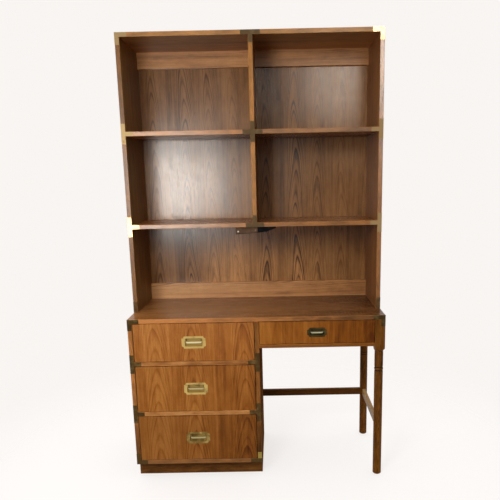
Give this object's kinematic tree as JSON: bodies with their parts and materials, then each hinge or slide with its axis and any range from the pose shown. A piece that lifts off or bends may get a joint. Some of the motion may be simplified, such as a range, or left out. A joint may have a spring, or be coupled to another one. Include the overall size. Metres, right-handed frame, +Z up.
{
  "type": "campaign desk",
  "caption": "Campaign desk with a drawer pedestal, pencil drawer over an open knee-hole, turned legs and a shelved hutch, bound with brass straps and recessed bail pulls.",
  "frame": {"origin": "on the floor under the middle of the whole piece", "axes": "+Z up, front faces -Y, +X to the right seen from the front"},
  "size_m": [1.1192, 0.458, 1.942],
  "materials": {
    "drawer_veneer": "satin lacquered flame-figured veneer, upright cathedral grain",
    "panel_veneer": "satin lacquered veneer with lighter front edges",
    "solid_wood": "satin lacquered solid wood",
    "leg_wood": "dark satin lacquered turned wood",
    "back_veneer": "satin lacquered veneered plywood, upright cathedral grain",
    "drawer_box_wood": "pale unstained secondary wood",
    "hutch_brass": "lightly tarnished lacquered brass",
    "desk_brass": "dark bronze patina on brass",
    "pull_brass": "worn lacquered brass with dark recesses",
    "pencil_pull_brass": "dark patina on brass with a bright worn bar",
    "light_metal": "dull bronze paint",
    "light_black": "moulded black plastic"
  },
  "bodies": {
    "desk": {"hutch_corner_brackets": "hutch_brass", "hutch_side_tees": "hutch_brass", "hutch_center_brackets": "hutch_brass", "hutch_foot_straps": "hutch_brass", "desk_corner_brackets": "desk_brass", "desk_rail_tees": "desk_brass", "desk_base_brackets": "desk_brass", "hutch_top": "panel_veneer", "hutch_left_side": "panel_veneer", "hutch_right_side": "panel_veneer", "hutch_upper_shelf": "panel_veneer", "hutch_lower_shelf": "panel_veneer", "hutch_upper_divider": "panel_veneer", "hutch_lower_divider": "panel_veneer", "hutch_back_panel": "back_veneer", "hutch_top_back_rail": "solid_wood", "hutch_bottom_back_rail": "solid_wood", "hutch_dowels": "drawer_box_wood", "shelf_light_bar": "light_metal", "shelf_light_housing": "light_black", "pencil_drawer_rail": "solid_wood", "right_apron": "solid_wood", "rear_apron": "solid_wood", "rear_stretcher": "leg_wood", "side_stretcher": "leg_wood", "front_leg": "leg_wood", "rear_leg": "leg_wood", "pedestal_left_side": "panel_veneer", "pedestal_inner_side": "panel_veneer", "pedestal_bottom": "panel_veneer", "lower_drawer_rail": "solid_wood", "upper_drawer_rail": "solid_wood", "pedestal_back_panel": "back_veneer", "toe_kick": "solid_wood", "rear_base_board": "solid_wood", "desk_top": "panel_veneer", "drawer_runners": "drawer_box_wood", "bottom_drawer_stops": "drawer_box_wood", "pencil_drawer_runners": "drawer_box_wood"},
    "top_drawer": {"top_drawer_front": "drawer_veneer", "top_drawer_box": "drawer_box_wood", "top_drawer_bottom": "drawer_box_wood", "top_drawer_pull_plate": "pull_brass"},
    "top_drawer_pull": {"top_drawer_bail": "pull_brass"},
    "middle_drawer": {"middle_drawer_front": "drawer_veneer", "middle_drawer_box": "drawer_box_wood", "middle_drawer_bottom": "drawer_box_wood", "middle_drawer_pull_plate": "pull_brass"},
    "middle_drawer_pull": {"middle_drawer_bail": "pull_brass"},
    "bottom_drawer": {"bottom_drawer_front": "drawer_veneer", "bottom_drawer_box": "drawer_box_wood", "bottom_drawer_bottom": "drawer_box_wood", "bottom_drawer_pull_plate": "pull_brass"},
    "bottom_drawer_pull": {"bottom_drawer_bail": "pull_brass"},
    "pencil_drawer": {"pencil_drawer_front": "drawer_veneer", "pencil_drawer_box": "drawer_box_wood", "pencil_drawer_bottom": "drawer_box_wood", "pencil_drawer_pull_plate": "pencil_pull_brass"},
    "pencil_drawer_pull": {"pencil_drawer_bail": "pencil_pull_brass"}
  },
  "joints": [
    {"name": "top_drawer_slide", "type": "slide", "parent": "desk", "child": "top_drawer", "axis": [0, -1, 0], "range_m": [0, 0.3]},
    {"name": "top_drawer_bail_swing", "type": "hinge", "parent": "top_drawer", "child": "top_drawer_pull", "pos_m": [-0.274, -0.2238, 0.657], "axis": [-1, 0, 0], "range_deg": [0, 90]},
    {"name": "middle_drawer_slide", "type": "slide", "parent": "desk", "child": "middle_drawer", "axis": [0, -1, 0], "range_m": [0, 0.3]},
    {"name": "middle_drawer_bail_swing", "type": "hinge", "parent": "middle_drawer", "child": "middle_drawer_pull", "pos_m": [-0.274, -0.2238, 0.44375], "axis": [-1, 0, 0], "range_deg": [0, 90]},
    {"name": "bottom_drawer_slide", "type": "slide", "parent": "desk", "child": "bottom_drawer", "axis": [0, -1, 0], "range_m": [0, 0.3]},
    {"name": "bottom_drawer_bail_swing", "type": "hinge", "parent": "bottom_drawer", "child": "bottom_drawer_pull", "pos_m": [-0.274, -0.2238, 0.21025], "axis": [-1, 0, 0], "range_deg": [0, 90]},
    {"name": "pencil_drawer_slide", "type": "slide", "parent": "desk", "child": "pencil_drawer", "axis": [0, -1, 0], "range_m": [0, 0.26]},
    {"name": "pencil_drawer_bail_swing", "type": "hinge", "parent": "pencil_drawer", "child": "pencil_drawer_pull", "pos_m": [0.263, -0.2238, 0.689], "axis": [-1, 0, 0], "range_deg": [0, 90]}
  ]
}
